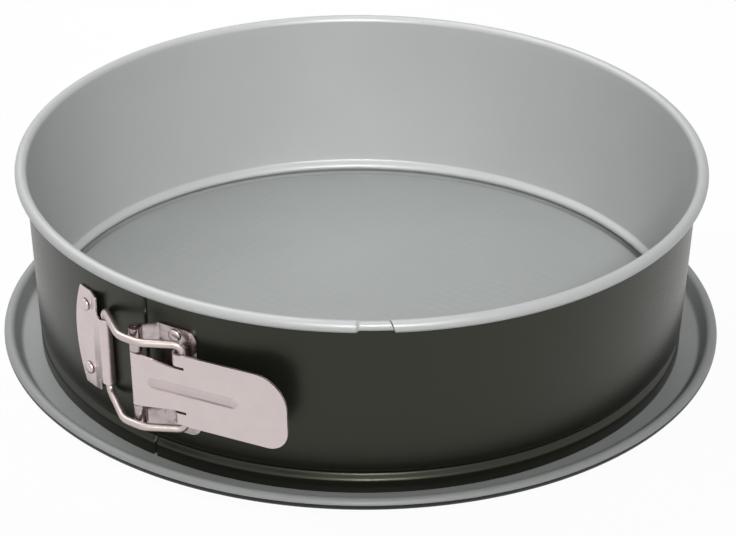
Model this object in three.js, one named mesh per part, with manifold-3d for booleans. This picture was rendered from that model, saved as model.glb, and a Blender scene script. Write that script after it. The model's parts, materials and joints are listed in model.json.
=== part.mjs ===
import * as THREE from 'three';
import { mergeVertices } from 'three/addons/utils/BufferGeometryUtils.js';
import Module from 'manifold-3d';

// Springform cake pan, in millimetres, +Z up. It stands on the flat flange of its base, and its
// buckle faces -Y. Along the band, angles run from the seam at -Y towards +X.

// Fits
const CLEARANCE = 0.25;

// Ring: a strip of sheet with a rolled rim, a pressed bead and overlapping ends
const PAN_DIAMETER = 240;
const FOOT_DIAMETER = 232.6;
const RING_HEIGHT = 69.55;
const BAND_SHEET = 0.6;
const RIM_DIAMETER = 4.3;
const RIM_SWEEP = 290;
const BEAD_HEIGHT = 5.4;
const BEAD_DEPTH = 1.9;
const BEAD_OVER_FLOOR = 2;
const LAP_LENGTH = 85;
const JOGGLE_LENGTH = 8;
const NECK_DIAMETER = 3.3;
const NECK_LENGTH = 9;
const NECK_TAPER = 1.5;
const SPLICE_GAP = 0.5;

// Base: a stamped sheet with a raised floor, a flat flange and a rolled lip
const BASE_SHEET = 0.6;
const FLOOR_RISE = 5.2;
const FLOOR_EDGE_RADIUS = 1.5;
const LIP_DIAMETER = 261.2;
const LIP_HEIGHT = 6;
const LIP_ROLL_DIAMETER = 4.3;
const LIP_ROLL_SWEEP = 240;
const LIP_SLOPE = 62;

// Buckle
const BUCKLE_HEIGHT = 35.45;
const PLATE_SHEET = 0.8;
const WIRE_DIAMETER = 2.8;
const WIRE_BEND = 3;
const CREST_BEND = 8;
const PIN_DIAMETER = 2.2;
const PIN_STANDOFF = 6.2;
const PIN_SHIFT = -0.8;
const CATCH_TO_PIN = 18.7;
const CATCH_RISE = 0.7;
const CATCH_HEIGHT = 39.1;
const CATCH_ROLL = 25.8;
const CATCH_ROLL_END = -18;
const CATCH_FOOT_START = 37.6;
const CATCH_FOOT_END = 27.5;
const CATCH_EDGE = 23;
const CATCH_BULGE = 4.2;
const HINGE_HEIGHT = 41.5;
const HINGE_BARREL = 39.5;
const HINGE_RECESS = 3;
const HINGE_ROLL_END = -45;
const HINGE_FOLD = 5;
const HINGE_FOOT = 20;
const HINGE_CORNER = 4;
const TONGUE_WIDTH = 21;
const TONGUE_NECK = 16.8;
const TONGUE_ROLL_SWEEP = 240;
const LEVER_LENGTH = 58;
const LEVER_WIDTH = 28.1;
const LEVER_SLOPE = 10.2;
const LEVER_TOP_RADIUS = 12;
const LEVER_LOW_RADIUS = 8;
const HOOK_REACH = 17.8;
const HOOK_INSET = 0.3;
const SLOT_WIDTH = 1;
const SLOT_LENGTH = 1.6;
const RIB_START = 4.5;
const RIB_END = 40;
const RIB_WIDTH = 4.6;
const RIB_PROUD = 0.8;
const RIB_RISE = 0.3;
const ARM_SPREAD = 33.7;
const CREST_LEFT = -5;
const CREST_RIGHT = 3.5;
const TIP_LENGTH = 6.4;

// Rivets
const RIVET_SHANK = 2.2;
const RIVET_HEAD = 4.6;
const RIVET_DOME = 1.4;
const RIVET_TAIL = 0.5;
const CATCH_RIVET_X = 30.7;
const CATCH_RIVET_SPACING = 25.6;
const HINGE_RIVET_X = 11.7;
const HINGE_RIVET_SPACING = 35.4;

// Facets
const ROUND_FACETS = 60;
const LAP_FACETS = 8;
const ROLL_FACETS = 9;
const LIP_FACETS = 8;
const BEAD_FACETS = 6;
const BEND_FACETS = 3;
const SEAT_FACETS = 4;
const CORNER_FACETS = 6;
const RIB_FACETS = 4;
const PIN_FACETS = 16;
const WIRE_FACETS = 8;
const WIRE_STEPS = 72;
const RIVET_FACETS = 14;
const DOME_FACETS = 4;
const WELD_DISTANCE = 1e-5;

const wasm = await Module();
wasm.setup();

const radians = THREE.MathUtils.degToRad;
const degrees = THREE.MathUtils.radToDeg;
const at = (x, y) => new THREE.Vector2(x, y);

// Heights
const ringFoot = BASE_SHEET + CLEARANCE;
const ringTop = ringFoot + RING_HEIGHT;
const rimCentre = ringTop - RIM_DIAMETER / 2;
const floorTop = BASE_SHEET + FLOOR_RISE;
const beadLow = floorTop + BEAD_OVER_FLOOR - BEAD_HEIGHT / 2;
const lapFoot = FLOOR_EDGE_RADIUS;
const lapTop = rimCentre - RIM_DIAMETER / 2 - CLEARANCE;
const buckleZ = ringFoot + BUCKLE_HEIGHT;

// The wall leans out from the foot to the rim
const wallSlope = (PAN_DIAMETER - FOOT_DIAMETER) / 2 / (rimCentre - ringFoot);
const wallLean = Math.atan(wallSlope);
const wallInside = (z) => FOOT_DIAMETER / 2 + wallSlope * (z - ringFoot);
const wallOutside = (z) => wallInside(z) + BAND_SHEET;
const wallRadius = wallOutside(buckleZ);
const lapAngle = LAP_LENGTH / wallRadius;
const lapInset = BAND_SHEET + RIVET_TAIL + 2 * CLEARANCE;

// Points of an arc, from one angle to another in degrees
function arc(centre, radius, from, to, steps) {
  return Array.from({ length: steps + 1 }, (_, i) => {
    const angle = radians(from + ((to - from) * i) / steps);
    return at(centre.x + radius * Math.cos(angle), centre.y + radius * Math.sin(angle));
  });
}

// Closed outline of a sheet of some thickness whose middle follows a line of points
function thicken(line, thickness) {
  const left = [];
  const right = [];
  const across = (from, to) => at(from.y - to.y, to.x - from.x).normalize();
  line.forEach((point, i) => {
    const arriving = across(line[Math.max(i - 1, 0)], line[Math.max(i, 1)]);
    const leaving = across(line[Math.min(i, line.length - 2)], line[Math.min(i + 1, line.length - 1)]);
    const normal = arriving.clone().add(leaving).normalize();
    normal.multiplyScalar(thickness / 2 / normal.dot(leaving));
    left.push(point.clone().add(normal));
    right.push(point.clone().sub(normal));
  });
  return [...left, ...right.reverse()];
}

function faceOutward(geometry) {
  const { position } = geometry.attributes;
  const index = geometry.index.array;
  const [a, b, c] = [0, 1, 2].map(() => new THREE.Vector3());
  let volume = 0;
  for (let i = 0; i < index.length; i += 3) {
    [a, b, c].forEach((corner, k) => corner.fromBufferAttribute(position, index[i + k]));
    volume += a.dot(b.cross(c));
  }
  if (volume < 0) {
    for (let i = 0; i < index.length; i += 3) {
      [index[i], index[i + 1]] = [index[i + 1], index[i]];
    }
  }
  return geometry;
}

function weld(geometry) {
  geometry.deleteAttribute('normal');
  geometry.deleteAttribute('uv');
  return faceOutward(mergeVertices(geometry, WELD_DISTANCE));
}

function solid(geometry) {
  const welded = weld(geometry);
  const vertProperties = new Float32Array(welded.attributes.position.array);
  const triVerts = new Uint32Array(welded.index.array);
  return new wasm.Manifold(new wasm.Mesh({ numProp: 3, vertProperties, triVerts }));
}

function geometryOf(body) {
  const { vertProperties, triVerts } = body.getMesh();
  const geometry = new THREE.BufferGeometry();
  geometry.setAttribute('position', new THREE.BufferAttribute(vertProperties, 3));
  geometry.setIndex(new THREE.BufferAttribute(triVerts, 1));
  return geometry;
}

const plainExtrude = (depth) => ({ depth, bevelEnabled: false, steps: 1 });

// Upright prism over an outline in x and y, between two heights
function prism(outline, low, high) {
  const geometry = new THREE.ExtrudeGeometry(new THREE.Shape(outline), plainExtrude(high - low));
  return geometry.translate(0, 0, low);
}

// Prism along y over an outline in x and z
function plate(outline, nearY, farY) {
  return prism(outline.map((p) => at(p.x, -p.y)), nearY, farY).rotateX(-Math.PI / 2);
}

// Sheet outlines in radius and height, each at its own angle round the pan, joined into one solid
function carryRound(stations) {
  const last = stations.length - 1;
  const count = stations[0].outline.length;
  const positions = stations.flatMap(({ angle, outline }) =>
    outline.flatMap((p) => [p.x * Math.sin(angle), -p.x * Math.cos(angle), p.y]));
  const index = [];
  for (let s = 0; s < last; s += 1) {
    for (let i = 0; i < count; i += 1) {
      const a = s * count + i;
      const b = s * count + ((i + 1) % count);
      index.push(a, a + count, b, b, a + count, b + count);
    }
  }
  const faces = (s) => THREE.ShapeUtils.triangulateShape(stations[s].outline, []);
  faces(0).forEach(([a, b, c]) => index.push(c, b, a));
  faces(last).forEach((face) => index.push(...face.map((corner) => last * count + corner)));
  const geometry = new THREE.BufferGeometry();
  geometry.setAttribute('position', new THREE.Float32BufferAttribute(positions, 3));
  return geometry.setIndex(index);
}

function stationsBetween(from, to, steps, outline) {
  return Array.from({ length: steps + 1 }, (_, i) => ({ angle: from + ((to - from) * i) / steps, outline }));
}

// Ring

// Middle of the wall's sheet, from its foot to just under the rim, moved in by some inset
function wallLine(foot, inset) {
  const middle = (z) => wallInside(z) + BAND_SHEET / 2 - inset;
  const line = [at(middle(foot), foot)];
  for (let i = 0; i <= BEAD_FACETS; i += 1) {
    const along = i / BEAD_FACETS;
    const z = beadLow + BEAD_HEIGHT * along;
    const dip = (BEAD_DEPTH * (1 - Math.cos(2 * Math.PI * along))) / 2;
    line.push(at(middle(z) - dip, z));
  }
  line.push(at(middle(lapTop), lapTop));
  return line;
}

// Wall with its rim rolled outwards; the rim keeps its place where the wall is moved in
function rimmedOutline(foot, inset, rimDiameter) {
  const centre = at((PAN_DIAMETER + rimDiameter) / 2, rimCentre);
  const roll = arc(centre, (rimDiameter - BAND_SHEET) / 2, 180, 180 - RIM_SWEEP, ROLL_FACETS);
  return thicken([...wallLine(foot, inset), ...roll], BAND_SHEET);
}

function ringGeometry(holes) {
  const free = rimmedOutline(ringFoot, 0, RIM_DIAMETER);
  const halfIn = rimmedOutline(lapFoot, lapInset / 2, RIM_DIAMETER);
  const lapped = rimmedOutline(lapFoot, lapInset, RIM_DIAMETER);
  const necked = rimmedOutline(lapFoot, lapInset, NECK_DIAMETER);
  const plain = thicken(wallLine(ringFoot, 0), BAND_SHEET);

  const turn = 2 * Math.PI;
  const joggle = JOGGLE_LENGTH / wallRadius;
  const joggleEnd = turn - CLEARANCE / wallRadius;
  const joggleStart = joggleEnd - joggle;
  const neckEnd = turn + lapAngle - SPLICE_GAP / wallRadius;
  const neckStart = neckEnd - NECK_LENGTH / wallRadius;
  const rimEnd = neckStart - NECK_TAPER / wallRadius;
  const strip = carryRound([
    ...stationsBetween(lapAngle, joggleStart, ROUND_FACETS - LAP_FACETS, free),
    { angle: joggleStart + joggle / 2, outline: halfIn },
    ...stationsBetween(joggleEnd, rimEnd, LAP_FACETS, lapped),
    { angle: neckStart, outline: necked },
    { angle: neckEnd, outline: necked },
  ]);
  const outerEnd = carryRound(stationsBetween(0, lapAngle, LAP_FACETS, plain));

  let band = solid(strip).add(solid(outerEnd));
  holes.forEach((hole) => {
    band = band.subtract(solid(hole));
  });
  return geometryOf(band);
}

// Base

function baseGeometry() {
  const half = BASE_SHEET / 2;
  const bend = FLOOR_EDGE_RADIUS - half;
  const floorRadius = FOOT_DIAMETER / 2 - lapInset - CLEARANCE;
  const shoulder = at(floorRadius - FLOOR_EDGE_RADIUS, floorTop - FLOOR_EDGE_RADIUS);
  const toe = at(floorRadius + FLOOR_EDGE_RADIUS - BASE_SHEET, FLOOR_EDGE_RADIUS);
  const rollRadius = (LIP_ROLL_DIAMETER - BASE_SHEET) / 2;
  const rollCentre = at((LIP_DIAMETER - LIP_ROLL_DIAMETER) / 2, LIP_HEIGHT - LIP_ROLL_DIAMETER / 2);
  const rollStart = 90 + LIP_SLOPE;
  const roll = arc(rollCentre, rollRadius, rollStart, rollStart - LIP_ROLL_SWEEP, LIP_FACETS);
  const slopeRun = (roll[0].y - half) / Math.tan(radians(LIP_SLOPE));
  const line = [
    at(0, floorTop - half),
    ...arc(shoulder, bend, 90, 0, BEND_FACETS),
    ...arc(toe, bend, 180, 270, BEND_FACETS),
    at(roll[0].x - slopeRun, half),
    ...roll,
  ];
  return weld(new THREE.LatheGeometry(thicken(line, BASE_SHEET), ROUND_FACETS).rotateX(Math.PI / 2));
}

// Buckle, in a frame on the wall: x along the seam's tangent, z up along the wall, and -y outwards

const buckle = new THREE.Group();
buckle.position.set(0, -wallRadius, buckleZ);
buckle.rotation.x = wallLean;
buckle.updateMatrix();

const pinRadius = PIN_DIAMETER / 2;
const wireRadius = WIRE_DIAMETER / 2;
const pinRoll = pinRadius + CLEARANCE + PLATE_SHEET / 2;
const wireRoll = wireRadius + CLEARANCE + PLATE_SHEET / 2;
const seatMiddle = CLEARANCE + PLATE_SHEET / 2;

// How far out a surface at some distance from the wall lies, beside the seam
const outAt = (x, distance) => Math.sqrt((wallRadius + distance) ** 2 - x * x) - wallRadius;
const outward = (points) => points.map((p) => at(p.x, -p.y));

const pinAxis = at(PIN_SHIFT, PIN_STANDOFF);
const catchX = PIN_SHIFT - CATCH_TO_PIN;
const catchAxis = at(catchX, outAt(catchX, CLEARANCE + wireRadius));

// A point given along the closed lever and out from its pin
const slope = radians(LEVER_SLOPE);
function onLever(along, out) {
  const x = pinAxis.x + along * Math.cos(slope) + out * Math.sin(slope);
  return at(x, pinAxis.y - along * Math.sin(slope) + out * Math.cos(slope));
}
const hookOut = pinRoll - wireRoll;
const hookAxis = onLever(HOOK_REACH, hookOut);

// Room in the hooks for the wire where the lever passes over centre, in line with the catch and the pin
const inLine = catchAxis.distanceTo(pinAxis) + pinAxis.distanceTo(hookAxis);
const overCentre = inLine - catchAxis.distanceTo(hookAxis);

// Line along the wall between two places, for a plate seated on it
function seatedLine(fromX, toX) {
  return Array.from({ length: SEAT_FACETS + 1 }, (_, i) => {
    const x = fromX + ((toX - fromX) * i) / SEAT_FACETS;
    return at(x, outAt(x, seatMiddle));
  });
}

// Direction, in degrees, of the line from a point that touches a circle on its left
function touchDirection(point, centre, radius) {
  const reach = centre.clone().sub(point);
  return degrees(reach.angle() + Math.asin(radius / reach.length()));
}

function rivetPlace(x, up) {
  const angle = Math.asin(x / wallRadius);
  const place = new THREE.Group();
  place.position.set(x, wallRadius * (1 - Math.cos(angle)), up);
  place.rotation.z = angle + Math.PI;
  place.updateMatrix();
  return place;
}

// Distances from the wall's outer face to the seats of a rivet's head and tail
const headSeat = CLEARANCE + PLATE_SHEET + CLEARANCE;
const tailSeat = -BAND_SHEET - CLEARANCE;

function rivetHole(place) {
  const radius = RIVET_SHANK / 2 + CLEARANCE;
  const top = headSeat + RIVET_DOME;
  const geometry = new THREE.CylinderGeometry(radius, radius, top - tailSeat, RIVET_FACETS);
  return geometry.translate(0, (top + tailSeat) / 2, 0).applyMatrix4(place.matrix);
}

function rivetGeometry() {
  const shank = RIVET_SHANK / 2;
  const head = RIVET_HEAD / 2;
  const tail = tailSeat - RIVET_TAIL;
  const dome = arc(at(0, 0), 1, 0, 90, DOME_FACETS).slice(0, -1);
  const outline = [
    at(0, tail),
    at(head, tail),
    at(head, tailSeat),
    at(shank, tailSeat),
    at(shank, headSeat),
    ...dome.map((p) => at(head * p.x, headSeat + RIVET_DOME * p.y)),
    at(0, headSeat + RIVET_DOME),
  ];
  return weld(new THREE.LatheGeometry(outline, RIVET_FACETS));
}

const rivetPlaces = {};
Object.entries({ upper: 1, lower: -1 }).forEach(([end, side]) => {
  const catchUp = CATCH_RISE + (side * CATCH_RIVET_SPACING) / 2;
  const hingeUp = (side * HINGE_RIVET_SPACING) / 2;
  rivetPlaces[`catch_rivet_${end}`] = rivetPlace(-CATCH_RIVET_X, catchUp);
  rivetPlaces[`hinge_rivet_${end}`] = rivetPlace(HINGE_RIVET_X, hingeUp);
});

function placesNamed(word) {
  const names = Object.keys(rivetPlaces).filter((name) => name.startsWith(word));
  return names.map((name) => rivetPlaces[name]);
}

function drill(body, places) {
  return places.reduce((rest, place) => rest.subtract(solid(rivetHole(place))), body);
}

function catchGeometry() {
  const foot = seatedLine(-CATCH_FOOT_START, -CATCH_FOOT_END);
  const direction = touchDirection(foot[SEAT_FACETS], catchAxis, wireRoll);
  const roll = arc(catchAxis, wireRoll, direction + 90, CATCH_ROLL_END, ROLL_FACETS);
  const sheet = outward(thicken([...foot, ...roll], PLATE_SHEET));
  const half = CATCH_HEIGHT / 2;
  const rolled = CATCH_ROLL / 2;
  const beyond = catchX + 2 * wireRoll;
  const left = -CATCH_FOOT_START + CATCH_BULGE;
  const bulgeRadius = (half * half + CATCH_BULGE * CATCH_BULGE) / (2 * CATCH_BULGE);
  const spread = degrees(Math.asin(half / bulgeRadius));
  const bulgeCentre = at(-CATCH_FOOT_START + bulgeRadius, 0);
  const outline = [
    at(-CATCH_EDGE, half),
    at(left, half),
    ...arc(bulgeCentre, bulgeRadius, 180 - spread, 180 + spread, CORNER_FACETS).slice(1, -1),
    at(left, -half),
    at(-CATCH_EDGE, -half),
    at(-CATCH_EDGE, -rolled),
    at(beyond, -rolled),
    at(beyond, rolled),
    at(-CATCH_EDGE, rolled),
  ];
  const depth = 2 * wallRadius;
  const body = solid(prism(sheet, -half, half)).intersect(solid(plate(outline, -depth, depth)));
  const raised = geometryOf(body).translate(0, 0, CATCH_RISE);
  return geometryOf(drill(solid(raised), placesNamed('catch')));
}

function hingeGeometry() {
  const foot = seatedLine(HINGE_FOOT, HINGE_FOLD);
  const direction = touchDirection(foot[SEAT_FACETS], pinAxis, pinRoll);
  const roll = arc(pinAxis, pinRoll, direction + 90, HINGE_ROLL_END, ROLL_FACETS);
  const sheet = outward(thicken([...foot, ...roll], PLATE_SHEET));
  const half = HINGE_HEIGHT / 2;
  const barrel = HINGE_BARREL / 2;
  const far = pinAxis.x - 2 * pinRoll;
  const upper = [
    at(far, barrel),
    at(pinAxis.x + pinRoll, barrel),
    at(HINGE_FOLD, half),
    ...arc(at(HINGE_FOOT - HINGE_CORNER, half - HINGE_CORNER), HINGE_CORNER, 90, 0, CORNER_FACETS),
  ];
  const lower = upper.map((p) => at(p.x, -p.y)).reverse();
  const depth = 2 * wallRadius;
  const gap = TONGUE_WIDTH / 2 + CLEARANCE;
  const window = [at(far, -gap), at(HINGE_FOLD, -gap), at(HINGE_FOLD, gap), at(far, gap)];
  const body = solid(prism(sheet, -half, half))
    .intersect(solid(plate([...upper, ...lower], -depth, depth)))
    .subtract(solid(plate(window, -depth, depth)));
  return geometryOf(drill(body, placesNamed('hinge')));
}

function pinGeometry() {
  const length = HINGE_BARREL - 2 * HINGE_RECESS;
  const geometry = new THREE.CylinderGeometry(pinRadius, pinRadius, length, PIN_FACETS);
  return weld(geometry.rotateX(Math.PI / 2).translate(pinAxis.x, -pinAxis.y, 0));
}

function leverGeometry() {
  const half = LEVER_WIDTH / 2;
  const neck = TONGUE_NECK / 2;
  const tongue = TONGUE_WIDTH / 2;
  const hookInner = neck + SLOT_WIDTH;
  const hookOuter = half - HOOK_INSET;
  const hookBack = HOOK_REACH - overCentre;
  const neckStart = hookBack - wireRoll;
  const slotEnd = HOOK_REACH + SLOT_LENGTH;
  const sheetEnd = at(slotEnd + SLOT_WIDTH, pinRoll);
  const depth = 2 * wallRadius;

  const tongueLine = [
    ...arc(at(0, 0), pinRoll, 90 + TONGUE_ROLL_SWEEP, 90, ROLL_FACETS),
    sheetEnd,
  ];
  const tongueUpper = [
    at(-LEVER_LENGTH, tongue),
    at(0, tongue),
    at(neckStart, neck),
    at(LEVER_LENGTH, neck),
  ];
  const tongueLower = tongueUpper.map((p) => at(p.x, -p.y)).reverse();
  const hookLine = [
    at(HOOK_REACH, hookOut - wireRoll),
    ...arc(at(hookBack, hookOut), wireRoll, 270, 90, ROLL_FACETS),
    sheetEnd,
  ];
  const hookSheet = outward(thicken(hookLine, PLATE_SHEET));

  const topCorner = at(LEVER_LENGTH - LEVER_TOP_RADIUS, half - LEVER_TOP_RADIUS);
  const lowCorner = at(LEVER_LENGTH - LEVER_LOW_RADIUS, LEVER_LOW_RADIUS - half);
  const gripOutline = [
    at(slotEnd, half),
    ...arc(topCorner, LEVER_TOP_RADIUS, 90, 0, CORNER_FACETS),
    ...arc(lowCorner, LEVER_LOW_RADIUS, 0, -90, CORNER_FACETS),
    at(slotEnd, -half),
  ];
  const inner = pinRoll - PLATE_SHEET / 2;
  const outer = pinRoll + PLATE_SHEET / 2;
  const rib = ribGeometry().translate(0, PLATE_SHEET / 2 - outer, RIB_RISE);
  const hollow = rib.clone().translate(0, PLATE_SHEET, 0);

  const body = solid(prism(outward(thicken(tongueLine, PLATE_SHEET)), -tongue, tongue))
    .intersect(solid(plate([...tongueUpper, ...tongueLower], -depth, depth)))
    .add(solid(plate(gripOutline, -outer, -inner)))
    .add(solid(prism(hookSheet, hookInner, hookOuter)))
    .add(solid(prism(hookSheet, -hookOuter, -hookInner)))
    .add(solid(rib))
    .subtract(solid(hollow));
  return geometryOf(body).rotateZ(slope).translate(pinAxis.x, -pinAxis.y, 0);
}

// Long round-ended boss along the lever, with rounded flanks
function ribGeometry() {
  const flank = RIB_WIDTH / 4;
  const outline = new THREE.Shape([
    ...arc(at(RIB_END - 2 * flank, 0), flank, -90, 90, RIB_FACETS),
    ...arc(at(RIB_START + 2 * flank, 0), flank, 90, 270, RIB_FACETS),
  ]);
  const options = { depth: PLATE_SHEET / 2, bevelThickness: RIB_PROUD, bevelSize: flank, bevelSegments: 2 };
  return new THREE.ExtrudeGeometry(outline, options).rotateX(Math.PI / 2);
}

// Smooth path through corner points, each corner rounded to its own bend
function bentPath(corners, bends) {
  const path = new THREE.CurvePath();
  let start = corners[0];
  for (let i = 1; i < corners.length - 1; i += 1) {
    const corner = corners[i];
    const arrive = corner.clone().sub(corners[i - 1]).normalize();
    const leave = corners[i + 1].clone().sub(corner).normalize();
    const trim = bends[i] * Math.tan(arrive.angleTo(leave) / 2);
    const enter = corner.clone().addScaledVector(arrive, -trim);
    const exit = corner.clone().addScaledVector(leave, trim);
    path.add(new THREE.LineCurve3(start, enter));
    path.add(new THREE.QuadraticBezierCurve3(enter, corner, exit));
    start = exit;
  }
  path.add(new THREE.LineCurve3(start, corners[corners.length - 1]));
  return path;
}

function bailGeometry() {
  const crest = pinAxis.y + pinRoll + PLATE_SHEET / 2 + CLEARANCE + wireRadius;
  const spread = ARM_SPREAD / 2;
  const legEnd = CATCH_ROLL / 2 + CLEARANCE + WIRE_BEND;
  const place = (p, up) => new THREE.Vector3(p.x, -p.y, up);
  const arm = (side) => [
    place(hookAxis, side * (spread - TIP_LENGTH)),
    place(hookAxis, side * spread),
    place(at(CREST_RIGHT, crest), side * spread),
    place(at(CREST_LEFT, crest), side * spread),
    place(catchAxis, CATCH_RISE + side * legEnd),
  ];
  const bends = [0, WIRE_BEND, CREST_BEND, CREST_BEND, WIRE_BEND];
  const path = bentPath([...arm(1), ...arm(-1).reverse()], [...bends, ...bends.toReversed()]);
  const section = new THREE.Shape(arc(at(0, 0), wireRadius, 0, 360, WIRE_FACETS).slice(1));
  return weld(new THREE.ExtrudeGeometry(section, { steps: WIRE_STEPS, extrudePath: path }));
}

// Finishes

function finish(color, roughness, metalness) {
  return new THREE.MeshStandardMaterial({ color, roughness, metalness });
}
const coatedBand = () => finish(0x383932, 0.5, 0.2);
const coatedBase = () => finish(0xaeb1b0, 0.45, 0.35);
const plated = () => finish(0xcdbebe, 0.35, 0.9);

function piece(name, geometry, material) {
  const mesh = new THREE.Mesh(geometry, material);
  mesh.name = name;
  return mesh;
}

const bandHoles = Object.values(rivetPlaces).map((place) => rivetHole(place).applyMatrix4(buckle.matrix));

const pan = new THREE.Group();
pan.add(piece('base_plate', baseGeometry(), coatedBase()));
pan.add(piece('ring_band', ringGeometry(bandHoles), coatedBand()));
pan.add(buckle);
buckle.add(piece('catch_bracket', catchGeometry(), plated()));
buckle.add(piece('hinge_bracket', hingeGeometry(), plated()));
buckle.add(piece('hinge_pin', pinGeometry(), plated()));
buckle.add(piece('clamp_lever', leverGeometry(), plated()));
buckle.add(piece('wire_bail', bailGeometry(), plated()));
Object.entries(rivetPlaces).forEach(([name, place]) => {
  place.add(piece(name, rivetGeometry(), plated()));
  buckle.add(place);
});

export default pan;
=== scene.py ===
import json
import math

import bmesh
import bpy
import numpy as np
from mathutils import Matrix, Vector


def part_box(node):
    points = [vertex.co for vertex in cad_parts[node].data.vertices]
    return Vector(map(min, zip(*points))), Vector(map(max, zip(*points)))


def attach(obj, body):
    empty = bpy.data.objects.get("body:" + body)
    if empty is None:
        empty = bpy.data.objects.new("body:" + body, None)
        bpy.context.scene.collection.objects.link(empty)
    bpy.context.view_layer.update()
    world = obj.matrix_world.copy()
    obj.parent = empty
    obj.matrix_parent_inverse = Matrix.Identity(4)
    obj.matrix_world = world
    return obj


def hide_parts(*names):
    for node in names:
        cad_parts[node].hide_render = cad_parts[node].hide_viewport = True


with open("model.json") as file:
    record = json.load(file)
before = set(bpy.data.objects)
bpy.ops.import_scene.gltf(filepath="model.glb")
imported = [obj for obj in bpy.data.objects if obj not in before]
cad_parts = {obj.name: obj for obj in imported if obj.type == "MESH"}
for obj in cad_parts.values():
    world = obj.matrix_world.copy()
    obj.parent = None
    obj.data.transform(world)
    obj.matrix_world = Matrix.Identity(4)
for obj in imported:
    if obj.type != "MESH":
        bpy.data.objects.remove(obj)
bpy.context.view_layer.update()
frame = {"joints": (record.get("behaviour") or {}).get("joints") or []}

# Springform cake pan on a white ground. Sizes are in millimetres and angles in degrees.
MM = 0.001

# Sheet and clearance
BAND_SHEET = 0.6
BASE_SHEET = 0.6
PLATE_SHEET = 0.8
CLEARANCE = 0.25

# Ring
PAN_RADIUS = 120
FOOT_RADIUS = 116.3
RIM_DIAMETER = 4.3
RIM_SWEEP = 290
BEAD_HEIGHT = 5.4
BEAD_DEPTH = 1.9
BEAD_OVER_FLOOR = 2
LAP_LENGTH = 85
LAP_INSET = 1.6
JOGGLE_LENGTH = 1.5
NECK_DIAMETER = 3.3
NECK_LENGTH = 9
NECK_TAPER = 1.5
SPLICE_GAP = 0.35
SPLICE_SLANT = 2.2
SPLICE_FADE = 7

# Base
FLOOR_RISE = 5.2
FLOOR_EDGE_RADIUS = 1.5
FLOOR_RADIUS = 114.45
LIP_HEIGHT = 6
LIP_ROLL_DIAMETER = 4.3
LIP_ROLL_SWEEP = 240
LIP_SLOPE = 62
LIP_FOOT_BEND = 2
# Painted shade: below this angle round the lip's roll, its face gets the dark coat
LIP_SHADE_EDGE = 14
HAMMER_PITCH = 5.6
HAMMER_DEPTH = 0.22
HAMMER_MARGIN = 9
HAMMER_START = 0.4
HAMMER_WANDER = 0.25
HAMMER_UNEVEN = 0.25

# Buckle
WIRE_DIAMETER = 2.8
WIRE_BEND = 3
CREST_BEND = 8
PIN_DIAMETER = 2.2
PIN_STANDOFF = 6.2
CATCH_RISE = 0.7
CATCH_HEIGHT = 39.1
CATCH_ROLL = 25.8
CATCH_ROLL_END = -18
CATCH_FOOT_START = 37.6
CATCH_FOOT_END = 27.5
CATCH_EDGE = 23
CATCH_BULGE = 4.2
CATCH_TRIM = 2.2
HINGE_HEIGHT = 41.5
HINGE_BARREL = 39.5
HINGE_RECESS = 3
HINGE_ROLL_END = -45
HINGE_FOLD = 5
HINGE_FOOT = 20
HINGE_CORNER = 4
TONGUE_WIDTH = 21
TONGUE_NECK = 16.8
TONGUE_ROLL_SWEEP = 240
LEVER_LENGTH = 58
LEVER_WIDTH = 28.1
LEVER_SLOPE = 10.2
LEVER_TOP_RADIUS = 12
LEVER_LOW_RADIUS = 8
HOOK_REACH = 17.8
HOOK_INSET = 0.3
SLOT_WIDTH = 1
SLOT_LENGTH = 1.6
RIB_START = 4.5
RIB_END = 40
RIB_WIDTH = 5.4
RIB_PROUD = 0.8
RIB_RISE = 0.3
RIB_MARGIN = 3
RIB_STEEPNESS = 1.15
# Painted shade: from this height of the rib on, its upper slope gets the darker plating
RIB_SHADE_FROM = 0.1
ARM_SPREAD = 33.7
CREST_LEFT = -5
CREST_RIGHT = 3.5
TIP_LENGTH = 6.4
TIP_ROUND = 0.35
PIN_END_ROUND = 0.25

# Rivets
RIVET_SHANK = 2.2
RIVET_HEAD = 4.6
RIVET_DOME = 0.9
RIVET_TAIL = 0.5
RIVET_TAIL_CHAMFER = 0.2
RIVET_HEAD_EDGE = 0.15
CATCH_RIVET_X = -30.7
CATCH_RIVET_SPACING = 25.6
HINGE_RIVET_X = 11.7
HINGE_RIVET_SPACING = 35.4

# Rounded edges of the plates
EDGE_ROUND = 0.2
EDGE_SEGMENTS = 2
EDGE_ANGLE = 50

# Fineness: counts of points, steps in millimetres and degrees
ROUND_STEPS = 756
ROLL_STEPS = 28
BEND_STEPS = 8
WALL_STEPS = 24
BEAD_STEPS = 20
FOOT_STEPS = 2
SPLICE_STEPS = 12
LEAST_STEPS = 10
CATCH_STEPS = 17
HINGE_STEPS = 20
FLANK_STEPS = 8
TONGUE_STEPS = 40
PIN_STEPS = 4
CORNER_STEPS = 40
DOME_STEPS = 12
WIRE_SIDES = 24
RIVET_SIDES = 40
PLATE_STEP = 1.2
LEVER_STEP = 0.4
GRIP_STEP = 0.5
WIRE_STEP = 1.5
FLANGE_STEP = 1
BEND_TURN = 6
SHARP_ANGLE = 40
TINY = 1e-6
MERGE_DISTANCE = 1e-7
ASKEW = (0.3, 0.5, 0.81)

# Camera
PHOTO_WIDTH = 736
CAMERA_AZIMUTH = 36.6
CAMERA_DISTANCE = 1100
CAMERA_HEIGHT = 617.3
CAMERA_PITCH = 28.33
CAMERA_YAW = 0.13
CAMERA_ROLL = 0.49
CAMERA_NEAR = 0.05
FOCAL_PIXELS = 3420
SENSOR_WIDTH = 36

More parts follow.
